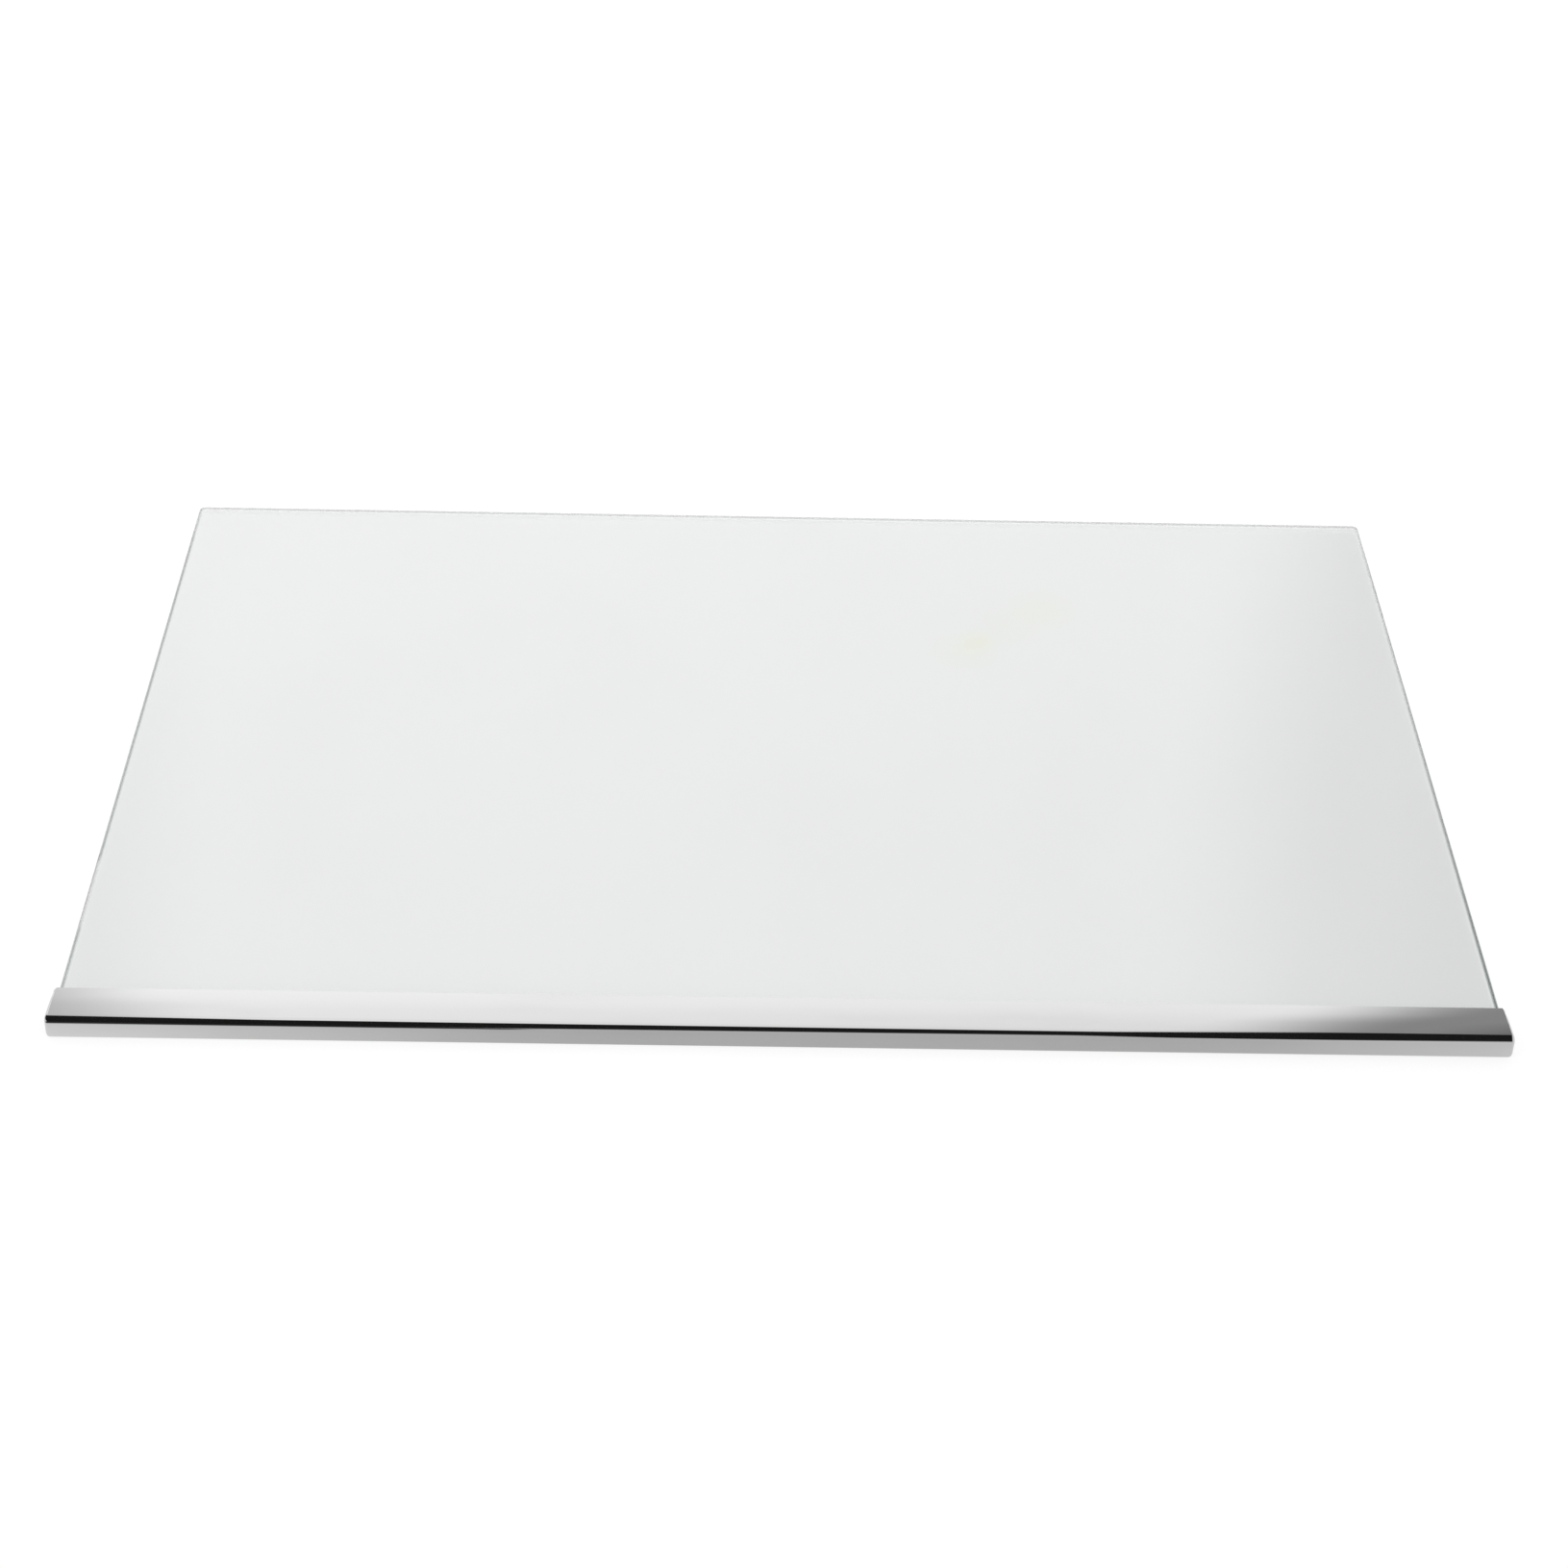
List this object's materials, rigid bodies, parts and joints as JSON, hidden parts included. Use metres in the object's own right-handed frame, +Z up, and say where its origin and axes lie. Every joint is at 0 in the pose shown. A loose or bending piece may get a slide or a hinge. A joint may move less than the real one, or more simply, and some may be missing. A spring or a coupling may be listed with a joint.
{
  "type": "fridge glass shelf",
  "caption": "Flat tempered glass fridge shelf with ground round edges and a chrome-plated moulded trim pushed onto its front edge.",
  "frame": {"origin": "middle of the footprint, level with the underside of the front trim", "axes": "+X along the front edge to the right, +Y to the back of the fridge, +Z up"},
  "size_m": [0.4728, 0.322, 0.008],
  "materials": {
    "glass": "clear tempered float glass with a faint green tint, edges ground",
    "trim": "bright chrome plating on a plastic moulding"
  },
  "bodies": {
    "root": {"glass_pane": "glass", "front_trim": "trim"}
  },
  "joints": []
}
